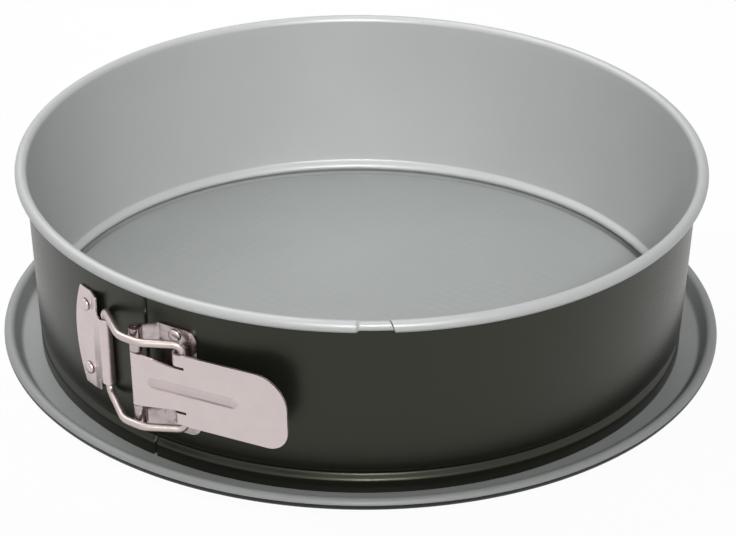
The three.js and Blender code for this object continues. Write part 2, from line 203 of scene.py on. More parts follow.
# Light: distances and sizes in metres, power in watts
GROUND_SIZE = 6
GROUND_GREY = 0.8
GROUND_WHITE = 0.96
AMBIENT = 0.2
LAMP_DISTANCE = 1.6
KEY_AZIMUTH = 41
KEY_ELEVATION = 33
KEY_CONE = 10
KEY_POWER = 350
KEY_SOFTNESS = 0.2
KEY_HEIGHT_SHARE = 0.7
TOP_AZIMUTH = 262
TOP_ELEVATION = 60
TOP_SIZE = 1.4
TOP_POWER = 15


def box_mm(node):
    low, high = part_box(node)
    return low / MM, high / MM


def joint(name):
    return next(j for j in frame["joints"] if j["name"] == name)


# Places from the frame
ring_low, ring_high = box_mm("ring_band")
_, base_high = box_mm("base_plate")
ring_foot = ring_low.z
rim_centre = ring_high.z - RIM_DIAMETER / 2
floor_top = BASE_SHEET + FLOOR_RISE
lip_radius = base_high.x
bead_low = floor_top + BEAD_OVER_FLOOR - BEAD_HEIGHT / 2
lap_foot = FLOOR_EDGE_RADIUS
lap_top = rim_centre - RIM_DIAMETER / 2 - CLEARANCE
pin_place = Vector(joint("lever_swing")["pos_m"]) / MM
catch_place = Vector(joint("bail_swing")["pos_m"]) / MM

# Frame on the wall under the buckle: along the seam's tangent, out from the wall, up along the wall
buckle_up = -Vector(joint("lever_swing")["axis"]).normalized()
buckle_out = Vector((1, 0, 0)).cross(buckle_up)
pin_x = pin_place.x
buckle_origin = pin_place - Vector((pin_x, 0, 0)) - PIN_STANDOFF * buckle_out
wall_radius = -buckle_origin.y


def buckle_matrix():
    axes = Matrix((Vector((1, 0, 0)), buckle_out, buckle_up)).transposed()
    return Matrix.Translation(buckle_origin) @ axes.to_4x4()


# Points and outlines

def polar(centre, radius, angles):
    a = np.radians(angles)
    return np.stack([centre[0] + radius * np.cos(a), centre[1] + radius * np.sin(a)], axis=-1)


def smooth(t):
    t = np.clip(t, 0, 1)
    return t * t * (3 - 2 * t)


def line_between(start, end, steps):
    """Points from start to end, both included."""
    share = np.linspace(0, 1, steps + 1)[:, None]
    return np.asarray(start, float) * (1 - share) + np.asarray(end, float) * share


def joined(*lines):
    """One line through several, with shared ends kept once."""
    points = np.concatenate([np.atleast_2d(np.asarray(line, float)) for line in lines])
    apart = np.linalg.norm(np.diff(points, axis=0), axis=1) > TINY
    return points[np.concatenate([[True], apart])]


def left_normals(line):
    """Unit normals on the left of a line of points in a plane."""
    run = np.gradient(line, axis=0)
    normal = np.stack([-run[:, 1], run[:, 0]], axis=-1)
    return normal / np.linalg.norm(normal, axis=1, keepdims=True)


def resampled(line, count):
    """The same line with evenly spaced points."""
    run = np.concatenate([[0], np.cumsum(np.linalg.norm(np.diff(line, axis=0), axis=1))])
    places = np.linspace(0, run[-1], count)
    return np.stack([np.interp(places, run, line[:, k]) for k in range(line.shape[1])], axis=-1)


# Meshes

def piece(name, vertices, faces, materials, body, nodes, face_slots=None, matrix=None):
    """A closed mesh, given in millimetres, that stands for CAD nodes and moves with a body."""
    mesh = bpy.data.meshes.new(name)
    mesh.from_pydata(np.asarray(vertices, float).tolist(), [], [list(map(int, f)) for f in faces])
    for material in materials:
        mesh.materials.append(material)
    if face_slots is not None:
        mesh.polygons.foreach_set("material_index", np.asarray(face_slots, np.int32))
    mesh.transform(Matrix.Scale(MM, 4) @ (matrix or Matrix.Identity(4)))
    work = bmesh.new()
    work.from_mesh(mesh)
    bmesh.ops.remove_doubles(work, verts=work.verts, dist=MERGE_DISTANCE)
    bmesh.ops.recalc_face_normals(work, faces=work.faces)
    work.to_mesh(mesh)
    work.free()
    mesh.polygons.foreach_set("use_smooth", np.ones(len(mesh.polygons), bool))
    mesh.set_sharp_from_angle(angle=math.radians(SHARP_ANGLE))
    obj = bpy.data.objects.new(name, mesh)
    bpy.context.scene.collection.objects.link(obj)
    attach(obj, body)
    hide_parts(*nodes)
    return obj


def round_edges(obj):
    modifier = obj.modifiers.new("edges", "BEVEL")
    modifier.width = EDGE_ROUND * MM
    modifier.segments = EDGE_SEGMENTS
    modifier.limit_method = "ANGLE"
    modifier.angle_limit = math.radians(EDGE_ANGLE)
    modifier.harden_normals = True


def grid_faces(columns, rows, offset=0, wrap=False):
    """Quads of a grid whose vertices run row by row inside each column."""
    last = columns if wrap else columns - 1
    faces = []
    for i in range(last):
        a = offset + i * rows
        b = offset + ((i + 1) % columns) * rows
        faces += [(a + j, b + j, b + j + 1, a + j + 1) for j in range(rows - 1)]
    return faces


def sheet(middle, normal, solid_cells, thickness):
    """Closed sheet over a grid of points: the cells that are solid, both faces and all the edges."""
    columns, rows = middle.shape[:2]
    offset = thickness / 2 * normal
    vertices = np.concatenate([(middle + offset).reshape(-1, 3), (middle - offset).reshape(-1, 3)])
    under = columns * rows
    padded = np.zeros((columns + 1, rows + 1), bool)
    padded[1:-1, 1:-1] = solid_cells
    faces = []
    for i, j in np.argwhere(solid_cells):
        a, b = i * rows + j, (i + 1) * rows + j
        faces.append((a, b, b + 1, a + 1))
        faces.append((under + a + 1, under + b + 1, under + b, under + a))
        sides = (
            (padded[i, j + 1], a, a + 1),
            (padded[i + 2, j + 1], b, b + 1),
            (padded[i + 1, j], a, b),
            (padded[i + 1, j + 2], a + 1, b + 1),
        )
        faces += [(p, q, under + q, under + p) for filled, p, q in sides if not filled]
    used = np.unique([v for face in faces for v in face])
    renumber = np.full(len(vertices), -1)
    renumber[used] = np.arange(len(used))
    return vertices[used], [tuple(renumber[list(face)]) for face in faces]


def tube(path, radius, sides, end_round):
    """Round rod along a path, with rounded ends."""
    path = np.asarray(path, float)
    run = np.gradient(path, axis=0)
    run /= np.linalg.norm(run, axis=1, keepdims=True)
    across = np.cross(run[0], ASKEW)
    rings = []
    turns = np.linspace(0, 2 * np.pi, sides, endpoint=False)
    for point, direction in zip(path, run):
        across = across - direction * np.dot(across, direction)
        across /= np.linalg.norm(across)
        other = np.cross(direction, across)
        rings.append((point, direction, across, other, 1.0))
    steps = [(math.cos(a), math.sin(a)) for a in np.radians([90, 60, 30])]
    start, end = rings[0], rings[-1]
    cut = end_round * radius
    head = [(start[0] - cut * s * start[1], *start[1:4], 1 - end_round * (1 - c)) for c, s in steps]
    tail = [(end[0] + cut * s * end[1], *end[1:4], 1 - end_round * (1 - c)) for c, s in reversed(steps)]
    rings = head + rings + tail
    vertices = [
        point + radius * size * (math.cos(t) * across + math.sin(t) * other)
        for point, _, across, other, size in rings
        for t in turns
    ]
    faces = []
    for i in range(len(rings) - 1):
        for j in range(sides):
            a, b = i * sides + j, i * sides + (j + 1) % sides
            faces.append((a, b, b + sides, a + sides))
    faces.append(tuple(range(sides)))
    faces.append(tuple(range((len(rings) - 1) * sides, len(rings) * sides)))
    return vertices, faces


def lathe(outline, sides):
    """Solid turned about the second axis, from an outline that starts and ends on it."""
    turns = np.linspace(0, 2 * np.pi, sides, endpoint=False)
    inner = np.asarray(outline, float)[1:-1]
    vertices = [(r * math.cos(t), r * math.sin(t), h) for t in turns for r, h in inner]
    rows = len(inner)
    faces = grid_faces(sides, rows, wrap=True)
    low, high = len(vertices), len(vertices) + 1
    vertices += [(0, 0, outline[0][1]), (0, 0, outline[-1][1])]
    for i in range(sides):
        a, b = i * rows, ((i + 1) % sides) * rows
        faces += [(low, b, a), (high, a + rows - 1, b + rows - 1)]
    return vertices, faces


# Materials: colours and finishes, pattern scales in features per metre, depths as shares or in millimetres

LIGHT_COAT = (0.47, 0.482, 0.479)
# The base's coat: the ring's light coating, painted darker and a little greener as shade
BASE_SHADED_COAT = (0.325, 0.34, 0.332)
DARK_COAT = (0.008, 0.0083, 0.006)
DARK_GLOSS = (0.97, 1, 0.8)
# Dark coat of the base's underside, also painted as shade on the lip roll's outer lower side
UNDER_COAT_AND_SHADE = (0.01, 0.01, 0.009)
PLATED = (0.62, 0.54, 0.535)
WIRE = (0.52, 0.45, 0.43)
PLATE_ROUGHNESS = 0.34
# Share of the plating's colour in the painted shade on the rib's upper slope
RIB_SHADE_TONE = 0.86
# Share of the plating's colour in the hinge's painted shade
HINGE_SHADE_TONE = 0.74
CLOUD_SCALE = 22
CLOUD_DEPTH = 0.06
PEEL_SCALE = 1400
PEEL_GLOSS = 0.04
PEEL_DEPTH = 0.02
PEEL_STRENGTH = 0.35
STAIN_SCALE = 130
STAIN_DEPTH = 0.06
DRAWN_SCALE = 900
DRAWN_STRETCH = (0.12, 1, 1)
DRAWN_GLOSS = 0.07
DRAWN_DEPTH = 0.015
DRAWN_STRENGTH = 0.3
PATTERN_LOW = 0.3
PATTERN_HIGH = 0.7


def material(name, color, metallic, roughness, specular=0.5, tint=(1, 1, 1)):
    """A principled material, with its nodes and links."""
    made = bpy.data.materials.new(name)
    made.use_nodes = True
    shader = made.node_tree.nodes["Principled BSDF"]
    shader.inputs["Base Color"].default_value = (*color, 1)
    shader.inputs["Metallic"].default_value = metallic
    shader.inputs["Roughness"].default_value = roughness
    shader.inputs["Specular IOR Level"].default_value = specular
    shader.inputs["Specular Tint"].default_value = (*tint, 1)
    return made, made.node_tree.nodes, made.node_tree.links, shader


def noise(nodes, links, scale, detail, stretch=(1, 1, 1)):
    """Noise over the object's own space, with a scale in features per metre."""
    place = nodes.new("ShaderNodeTexCoord")
    spread = nodes.new("ShaderNodeMapping")
    spread.inputs["Scale"].default_value = stretch
    pattern = nodes.new("ShaderNodeTexNoise")
    pattern.inputs["Scale"].default_value = scale
    pattern.inputs["Detail"].default_value = detail
    links.new(place.outputs["Object"], spread.inputs["Vector"])
    links.new(spread.outputs["Vector"], pattern.inputs["Vector"])
    return pattern.outputs["Fac"]


def ramp(nodes, links, source, low, high):
    """Turns a value between 0 and 1 into a value or a colour between two others."""
    colours = nodes.new("ShaderNodeMapRange" if isinstance(low, (int, float)) else "ShaderNodeMix")
    if isinstance(low, (int, float)):
        links.new(source, colours.inputs["Value"])
        colours.inputs["From Min"].default_value = PATTERN_LOW
        colours.inputs["From Max"].default_value = PATTERN_HIGH
        colours.inputs["To Min"].default_value = low
        colours.inputs["To Max"].default_value = high
        return colours.outputs["Result"]
    colours.data_type = "RGBA"
    links.new(source, colours.inputs["Factor"])
    colours.inputs["A"].default_value = (*low, 1)
    colours.inputs["B"].default_value = (*high, 1)
    return colours.outputs["Result"]


def bump(nodes, links, shader, height, distance, strength):
    made = nodes.new("ShaderNodeBump")
    made.inputs["Distance"].default_value = distance * MM
    made.inputs["Strength"].default_value = strength
    links.new(height, made.inputs["Height"])
    links.new(made.outputs["Normal"], shader.inputs["Normal"])


def shade(color, share):
    return tuple(c * share for c in color)


def vary_color(nodes, links, shader, source, color, depth):
    tones = shade(color, 1 - depth), shade(color, 1 + depth)
    links.new(ramp(nodes, links, source, *tones), shader.inputs["Base Color"])


def vary_gloss(nodes, links, shader, source, roughness, depth):
    gloss = ramp(nodes, links, source, roughness - depth, roughness + depth)
    links.new(gloss, shader.inputs["Roughness"])


def coating(name, color, metallic, roughness, specular, tint=(1, 1, 1)):
    """Sprayed satin coating: slight clouding, fine orange peel and a little change of gloss."""
    made, nodes, links, shader = material(name, color, metallic, roughness, specular, tint)
    vary_color(nodes, links, shader, noise(nodes, links, CLOUD_SCALE, 3), color, CLOUD_DEPTH)
    peel = noise(nodes, links, PEEL_SCALE, 2)
    vary_gloss(nodes, links, shader, peel, roughness, PEEL_GLOSS)
    bump(nodes, links, shader, peel, PEEL_DEPTH, PEEL_STRENGTH)
    return made


def plating(name, color, roughness, stain_and_reflection_scale=STAIN_SCALE, stain_and_reflection_depth=STAIN_DEPTH):
    """Satin plated steel: faint drawn lines along the sheet, soft stains and small changes of gloss. On the
    hinge the blotches are deep and dense, as painted dark reflections.
    """
    made, nodes, links, shader = material(name, color, 1.0, roughness)
    vary_color(nodes, links, shader, noise(nodes, links, stain_and_reflection_scale, 4), color, stain_and_reflection_depth)
    drawn = noise(nodes, links, DRAWN_SCALE, 3, DRAWN_STRETCH)
    vary_gloss(nodes, links, shader, drawn, roughness, DRAWN_GLOSS)
    bump(nodes, links, shader, drawn, DRAWN_DEPTH, DRAWN_STRENGTH)
    return made


light_coat = coating("light_coat", LIGHT_COAT, metallic=0.22, roughness=0.45, specular=0.35)
# Same coating as the ring's light one, painted darker as shade on the base
base_shaded_coat = coating("base_shaded_coat", BASE_SHADED_COAT, metallic=0.08, roughness=0.45, specular=0.25)
dark_coat = coating("dark_coat", DARK_COAT, metallic=0, roughness=0.34, specular=0.42, tint=DARK_GLOSS)
# Underside coat, also used as painted shade on the lip roll's outer lower side
under_coat_and_shade = coating("under_coat_and_shade", UNDER_COAT_AND_SHADE, metallic=0, roughness=0.45, specular=0.3)
plated_steel = plating("plated_steel", PLATED, PLATE_ROUGHNESS)
# Darker copy of the plating, painted as shade on the rib's upper slope
rib_shade_steel = plating("rib_shade_steel", shade(PLATED, RIB_SHADE_TONE), PLATE_ROUGHNESS)
# Hinge plate: the plating darkened as painted shade, with deep blotches as painted dark reflections
hinge_shaded_steel = plating("hinge_shaded_steel", shade(PLATED, HINGE_SHADE_TONE), roughness=0.22,
                      stain_and_reflection_scale=420, stain_and_reflection_depth=0.38)
wire_steel = plating("wire_steel", WIRE, roughness=0.4)


# Base plate

def hammered(x, y):
    """Height of the floor's finely hammered face."""
    u = (x + y) / math.sqrt(2)
    v = (x - y) / math.sqrt(2)
    drift = np.sin(x / 17.0 + 1.3 * np.sin(y / 23.0)) + np.sin(y / 19.0 + np.cos(x / 29.0))
    wander = HAMMER_WANDER * drift
    turn = 2 * np.pi / HAMMER_PITCH
    cells = np.cos(turn * (u + wander)) * np.cos(turn * (v - wander))
    patches = np.sin(x / 7.3 + y / 11.1) * np.cos(y / 5.7 - x / 13.9)
    uneven = 1 - HAMMER_UNEVEN + HAMMER_UNEVEN * patches
    return HAMMER_DEPTH * (cells * uneven - 1) / 2


def disc(radius, rings, height):
    """Round face of even triangles, ring by ring, with a height at each point."""
    vertices = [(0.0, 0.0)]
    for k in range(1, rings + 1):
        turns = np.arange(6 * k) * (2 * np.pi / (6 * k))
        r = radius * k / rings
        vertices += [(r * math.cos(t), r * math.sin(t)) for t in turns]

    def first(k):
        return 0 if k == 0 else 1 + 3 * k * (k - 1)

    faces = []
    for k in range(1, rings + 1):
        outer, inner = first(k), first(k - 1)
        count, count_in = 6 * k, max(6 * (k - 1), 1)
        for s in range(6):
            for j in range(k):
                a = outer + (s * k + j) % count
                b = outer + (s * k + j + 1) % count
                c = inner + (s * (k - 1) + j) % count_in
                faces.append((a, b, c))
                if j < k - 1:
                    faces.append((c, b, inner + (s * (k - 1) + j + 1) % count_in))
    flat = np.array(vertices)
    heights = height(flat[:, 0], flat[:, 1])
    return np.column_stack([flat, heights]), faces


def base_line():
    """Middle of the base's sheet from the floor's edge to the end of the rolled lip."""
    half = BASE_SHEET / 2
    bend = FLOOR_EDGE_RADIUS - half
    shoulder = (FLOOR_RADIUS - FLOOR_EDGE_RADIUS, floor_top - FLOOR_EDGE_RADIUS)
    toe = (FLOOR_RADIUS + FLOOR_EDGE_RADIUS - BASE_SHEET, FLOOR_EDGE_RADIUS)
    roll_radius = (LIP_ROLL_DIAMETER - BASE_SHEET) / 2
    roll_centre = (lip_radius - LIP_ROLL_DIAMETER / 2, LIP_HEIGHT - LIP_ROLL_DIAMETER / 2)
    roll_start = 90 + LIP_SLOPE
    roll = polar(roll_centre, roll_radius, np.linspace(roll_start, roll_start - LIP_ROLL_SWEEP, ROLL_STEPS))
    slope_run = (roll[0, 1] - half) / math.tan(math.radians(LIP_SLOPE))
    slope_foot = (roll[0, 0] - slope_run, half)
    corners = [(toe[0], half, 0), (*slope_foot, 0), (*roll[0], 0)]
    flange = bent_path(corners, [0, LIP_FOOT_BEND], FLANGE_STEP)[:, :2]
    return joined(
        polar(shoulder, bend, np.linspace(90, 0, BEND_STEPS)),
        polar(toe, bend, np.linspace(180, 270, BEND_STEPS)),
        flange,
        roll,
    ), roll_centre


def base_slots(rows, top_count, roll_centre):
    """Coat of each strip round the base's sheet: 1, the dark one, on the underside, and as painted shade on
    the outer and lower side of the lip's roll.
    """
    middle = (rows[:-1] + rows[1:]) / 2 - np.array(roll_centre)
    on_roll = np.hypot(middle[:, 0], middle[:, 1]) < LIP_ROLL_DIAMETER / 2 + BASE_SHEET / 2
    below = np.degrees(np.arctan2(middle[:, 1], middle[:, 0])) < LIP_SHADE_EDGE
    under = np.arange(len(rows) - 1) >= top_count - 1
    return np.where(under | (on_roll & below), 1, 0)


def build_base():
    line, roll_centre = base_line()
    normal = left_normals(line)
    top = line + BASE_SHEET / 2 * normal
    bottom = line - BASE_SHEET / 2 * normal
    rows = np.concatenate([top, bottom[::-1]])
    turns = np.arange(ROUND_STEPS) * (2 * np.pi / ROUND_STEPS)
    vertices = [(r * math.cos(t), r * math.sin(t), z) for t in turns for r, z in rows]
    faces = grid_faces(ROUND_STEPS, len(rows), wrap=True)
    slots = list(np.tile(base_slots(rows, len(top), roll_centre), ROUND_STEPS))

    floor_radius = top[0, 0]

    def floor_height(x, y):
        inside = (floor_radius - np.hypot(x, y)) / HAMMER_MARGIN - HAMMER_START
        return top[0, 1] + hammered(x, y) * smooth(inside)

    floor_vertices, floor_faces = disc(floor_radius, ROUND_STEPS // 6, floor_height)
    floor_first = len(vertices)
    vertices += floor_vertices.tolist()
    faces += [tuple(v + floor_first for v in face) for face in floor_faces]
    slots += [0] * len(floor_faces)

    centre = len(vertices)
    vertices.append((0, 0, bottom[0, 1]))
    last = len(rows) - 1
    for i in range(ROUND_STEPS):
        faces.append((centre, i * len(rows) + last, ((i + 1) % ROUND_STEPS) * len(rows) + last))
        slots.append(1)
    return piece("pan_base", vertices, faces, [base_shaded_coat, under_coat_and_shade], "base", ["base_plate"],
                 slots)


# Ring

def wall_line(foot, top, inset):
    slope = (PAN_RADIUS - FOOT_RADIUS) / (rim_centre - ring_foot)
    below = np.linspace(foot, bead_low, FOOT_STEPS + 1)
    bead = np.linspace(bead_low, bead_low + BEAD_HEIGHT, BEAD_STEPS + 1)[1:]
    above = np.linspace(bead_low + BEAD_HEIGHT, top, WALL_STEPS + 1)[1:]
    z = np.concatenate([below, bead, above])
    along = np.clip((z - bead_low) / BEAD_HEIGHT, 0, 1)
    dip = BEAD_DEPTH * (1 - np.cos(2 * np.pi * along)) / 2
    r = FOOT_RADIUS + slope * (z - ring_foot) + BAND_SHEET / 2 - dip - inset
    return np.stack([r, z], axis=-1)


def rim_line(diameter):
    centre = (PAN_RADIUS + diameter / 2, rim_centre)
    return polar(centre, (diameter - BAND_SHEET) / 2, np.linspace(180, 180 - RIM_SWEEP, ROLL_STEPS))


def ring_section(lapped, necked):
    """Light and dark faces of the band's sheet, from its foot to the end of its rim."""
    foot = ring_foot + (lap_foot - ring_foot) * min(2 * lapped, 1)
    wall = wall_line(foot, lap_top, LAP_INSET * lapped)
    line = np.concatenate([wall, rim_line(RIM_DIAMETER + (NECK_DIAMETER - RIM_DIAMETER) * necked)])
    normal = left_normals(line)
    return line + BAND_SHEET / 2 * normal, line - BAND_SHEET / 2 * normal


def swept(sections, angles):
    """Points of sections carried round the pan from the seam, the angles in radians for each point."""
    points = []
    for (light, dark), angle in zip(sections, angles):
        rows = np.concatenate([light, dark[::-1]])
        turn = np.concatenate([angle, angle[::-1]])
        points.append(np.stack([rows[:, 0] * np.sin(turn), -rows[:, 0] * np.cos(turn), rows[:, 1]], axis=-1))
    return np.array(points)


def ring_stations():
    """Angle, share of the lap's inset and share of the rim's neck, along the rimmed strip."""
    turn = 2 * math.pi
    lap = LAP_LENGTH / wall_radius
    seam = turn - CLEARANCE / wall_radius
    joggle = seam - JOGGLE_LENGTH / wall_radius
    neck_end = turn + lap - SPLICE_GAP / wall_radius
    neck = neck_end - NECK_LENGTH / wall_radius
    rim_end = neck - NECK_TAPER / wall_radius
    step = turn / ROUND_STEPS
    edges = [lap, lap + SPLICE_FADE / wall_radius, joggle, seam, rim_end, neck, neck_end]
    counts = [SPLICE_STEPS] + [max(int((b - a) / step), LEAST_STEPS) for a, b in zip(edges[1:-1], edges[2:])]
    angles = np.concatenate(
        [np.linspace(a, b, n, endpoint=False) for a, b, n in zip(edges, edges[1:], counts)] + [[neck_end]])
    lapped = smooth((angles - joggle) / (seam - joggle))
    necked = smooth((angles - rim_end) / (neck - rim_end))
    return angles, lapped, necked


def build_ring():
    angles, lapped, necked = ring_stations()
    sections = [ring_section(a, n) for a, n in zip(lapped, necked)]
    rows = len(sections[0][0])
    wall_rows = rows - ROLL_STEPS
    on_rim = smooth((np.arange(rows) - wall_rows + 1) / ROLL_STEPS)
    slant = SPLICE_SLANT / wall_radius
    fade = SPLICE_FADE / wall_radius
    lap = angles[0]

    def near_end(angle):
        """One at either end of the rimmed strip, and fading out along it."""
        return 1 - smooth((angle - lap) / fade) + smooth((angle - angles[-1]) / fade + 1)

    turned = [a + slant * on_rim * near_end(a) for a in angles]
    strip = swept(sections, turned)

    plain_angles = np.linspace(0, lap, int(lap / (2 * math.pi) * ROUND_STEPS) + 1)
    light, dark = sections[0]
    plain = swept([(light[:wall_rows], dark[:wall_rows])] * len(plain_angles),
                  [np.full(wall_rows, a) for a in plain_angles])

    vertices = np.concatenate([strip.reshape(-1, 3), plain.reshape(-1, 3)])
    loop = 2 * rows
    plain_first = len(strip) * loop
    plain_loop = 2 * wall_rows
    faces, slots = [], []

    def close(first, second, count, split):
        for j in range(count):
            nxt = (j + 1) % count
            faces.append((first + j, second + j, second + nxt, first + nxt))
            slots.append(0 if j < split else 1)

    def end(first, count, low, high):
        for j in range(low, high - 1):
            faces.append((first + j, first + j + 1, first + count - 2 - j, first + count - 1 - j))
            slots.append(0)

    for i in range(len(strip) - 1):
        close(i * loop, (i + 1) * loop, loop, rows)
    for i in range(len(plain) - 1):
        a = plain_first + i * plain_loop
        close(a, a + plain_loop, plain_loop, wall_rows)
    end(0, loop, wall_rows - 1, rows)
    end((len(strip) - 1) * loop, loop, 0, rows)
    end(plain_first, plain_loop, 0, wall_rows)
    return piece("pan_ring", vertices, faces, [light_coat, dark_coat], "ring", ["ring_band"],
                 slots)


# Buckle pieces, in the frame on the wall

pin_roll = PIN_DIAMETER / 2 + CLEARANCE + PLATE_SHEET / 2
wire_roll = WIRE_DIAMETER / 2 + CLEARANCE + PLATE_SHEET / 2
pin_axis = np.array([pin_x, PIN_STANDOFF])
catch_axis = np.array([catch_place.x, (catch_place - buckle_origin).dot(buckle_out)])


def out_at(x, distance):
    return np.sqrt((wall_radius + distance) ** 2 - np.asarray(x, float) ** 2) - wall_radius


def seated(x):
    """Line of a plate's middle along the wall."""
    return np.stack([x, out_at(x, CLEARANCE + PLATE_SHEET / 2)], axis=-1)


def touching(point, centre, radius):
    """Direction, in degrees, of the line from a point that touches a circle on its left."""
    reach = centre - point
    angle = math.atan2(reach[1], reach[0]) + math.asin(radius / np.linalg.norm(reach))
    return math.degrees(angle)


def rolled_plate(foot, centre, radius, roll_end):
    """Plate along the wall that leaves it in a straight flank and ends in a roll."""
    start = touching(foot[-1], centre, radius) + 90
    roll = polar(centre, radius, np.linspace(start, roll_end, ROLL_STEPS))
    return joined(foot, line_between(foot[-1], roll[0], FLANK_STEPS), roll)


def upright(line, heights):
    """Grid of points and outward normals of a bent sheet, from its plan line and its heights."""
    normal = left_normals(line)
    columns, rows = heights.shape
    middle = np.zeros((columns, rows, 3))
    middle[:, :, :2] = line[:, None, :]
    middle[:, :, 2] = heights
    normals = np.zeros((columns, rows, 3))
    normals[:, :, :2] = normal[:, None, :]
    return middle, normals


def spaced(edges, gap):
    """Rising values that include all the edges, no further apart than a gap."""
    parts = [np.linspace(a, b, max(int(math.ceil((b - a) / gap)), 1), endpoint=False)
             for a, b in zip(edges, edges[1:])]
    return np.concatenate(parts + [[edges[-1]]])


def build_catch():
    seat = seated(np.linspace(-CATCH_FOOT_START, -CATCH_FOOT_END, CATCH_STEPS))
    line = rolled_plate(seat, catch_axis, wire_roll, CATCH_ROLL_END)
    half = CATCH_HEIGHT / 2
    rolled = CATCH_ROLL / 2
    edge = int(np.argmin(np.abs(line[: -ROLL_STEPS, 0] + CATCH_EDGE)))
    shares = spaced([-half, -rolled, rolled, half], PLATE_STEP)
    heights = np.tile(shares, (len(line), 1))
    bulge_radius = (half * half + CATCH_BULGE * CATCH_BULGE) / (2 * CATCH_BULGE)
    left = bulge_radius - np.sqrt(bulge_radius ** 2 - shares ** 2) - CATCH_FOOT_START
    middle, normals = upright(line, heights)
    foot = line[:, 0] <= -CATCH_FOOT_END
    span = (line[foot, 0] + CATCH_FOOT_START) / (CATCH_FOOT_START - CATCH_FOOT_END)
    for j, start in enumerate(left):
        x = start + (-CATCH_FOOT_END - start) * span
        middle[foot, j, 0] = x
        middle[foot, j, 1] = out_at(x, CLEARANCE + PLATE_SHEET / 2)
    middle[:, :, 2] += CATCH_RISE
    cells = np.ones((len(line) - 1, len(shares) - 1), bool)
    mids = (shares[:-1] + shares[1:]) / 2
    cells[edge:, np.abs(mids) > rolled] = False
    flank = np.clip((line[:, 0] + CATCH_FOOT_END) / (CATCH_FOOT_END - CATCH_EDGE), 0, 1)
    below = np.clip((-shares - rolled) / (half - rolled), 0, 1)
    middle[:, :, 2] += CATCH_TRIM * flank[:, None] * below
    vertices, faces = sheet(middle, normals, cells, PLATE_SHEET)
    obj = piece("buckle_catch", vertices, faces, [plated_steel], "ring", ["catch_bracket"],
                matrix=buckle_matrix())
    round_edges(obj)
    return obj


def build_hinge():
    corner = HINGE_FOOT - HINGE_CORNER
    round_x = corner + HINGE_CORNER * np.cos(np.linspace(0, np.pi / 2, HINGE_STEPS))
    straight_x = np.linspace(corner, HINGE_FOLD, HINGE_STEPS)[1:]
    foot = seated(np.concatenate([round_x, straight_x]))
    line = rolled_plate(foot, pin_axis, pin_roll, HINGE_ROLL_END)
    half = HINGE_HEIGHT / 2
    barrel = HINGE_BARREL / 2
    gap = TONGUE_WIDTH / 2 + CLEARANCE
    x = line[:, 0]
    flank = np.clip((HINGE_FOLD - x) / (HINGE_FOLD - pin_axis[0] - pin_roll), 0, 1)
    past = np.clip(x - corner, 0, HINGE_CORNER)
    cut = HINGE_CORNER - np.sqrt(HINGE_CORNER ** 2 - past ** 2)
    top = half - (half - barrel) * flank - cut
    shares = spaced([-half, -gap, gap, half], PLATE_STEP)
    share = np.where(np.abs(shares) > gap, (np.abs(shares) - gap) / (half - gap), 0)
    heights = np.sign(shares) * (np.minimum(np.abs(shares), gap) + share * (top[:, None] - gap))
    middle, normals = upright(line, heights)
    fold = int(np.argmin(np.abs(x - HINGE_FOLD)))
    cells = np.ones((len(line) - 1, len(shares) - 1), bool)
    mids = (shares[:-1] + shares[1:]) / 2
    cells[fold:, np.abs(mids) < gap] = False
    vertices, faces = sheet(middle, normals, cells, PLATE_SHEET)
    obj = piece("buckle_hinge", vertices, faces, [hinge_shaded_steel], "ring", ["hinge_bracket"],
                matrix=buckle_matrix())
    round_edges(obj)
    return obj


def build_pin():
    half = HINGE_BARREL / 2 - HINGE_RECESS
    path = line_between((*pin_axis, -half), (*pin_axis, half), PIN_STEPS)
    vertices, faces = tube(path, PIN_DIAMETER / 2, WIRE_SIDES, PIN_END_ROUND)
    return piece("buckle_pin", vertices, faces, [wire_steel], "ring", ["hinge_pin"],
                 matrix=buckle_matrix())


# Lever, along its own length from the pin, out from the pin, and up

lever_turn = math.radians(LEVER_SLOPE)
lever_half = LEVER_WIDTH / 2
neck_half = TONGUE_NECK / 2
hook_out = pin_roll - wire_roll
hook_inner = neck_half + SLOT_WIDTH
hook_outer = lever_half - HOOK_INSET
slot_end = HOOK_REACH + SLOT_LENGTH


def lever_direction(along, out):
    """A direction on the lever, in the frame on the wall."""
    cos, sin = math.cos(lever_turn), math.sin(lever_turn)
    return np.stack([along * cos + out * sin, out * cos - along * sin], axis=-1)


def on_lever(along, out):
    return pin_axis + lever_direction(along, out)


hook_axis = on_lever(HOOK_REACH, hook_out)
over_centre = (np.linalg.norm(catch_axis - pin_axis) + np.linalg.norm(pin_axis - hook_axis)
               - np.linalg.norm(catch_axis - hook_axis))
hook_back = HOOK_REACH - over_centre


def lever_edges(along):
    """Lowest and highest edge of the grip at a place along the lever."""

    def rounded(radius):
        past = np.clip(along - (LEVER_LENGTH - radius), 0, radius)
        return lever_half - radius + np.sqrt(radius * radius - past * past)

    return -rounded(LEVER_LOW_RADIUS), rounded(LEVER_TOP_RADIUS)


def rib_height(along, up):
    """How far the pressed rib stands out of the lever."""
    radius = RIB_WIDTH / 2
    past = along - np.clip(along, RIB_START + radius, RIB_END - radius)
    away = np.hypot(past, up - RIB_RISE)
    return RIB_PROUD * smooth(RIB_STEEPNESS * (1 - away / radius))


def rib_shaded_faces(vertices, faces):
    """Faces on the upper part of the rib, which get a darker copy of the plating as painted shade."""
    middles = np.array([vertices[list(face)].mean(axis=0) for face in faces])
    reach = middles[:, :2] - pin_axis
    along = reach[:, 0] * math.cos(lever_turn) - reach[:, 1] * math.sin(lever_turn)
    up = middles[:, 2]
    return (rib_height(along, up) > RIB_SHADE_FROM) & (up > RIB_RISE - RIB_WIDTH / 5)


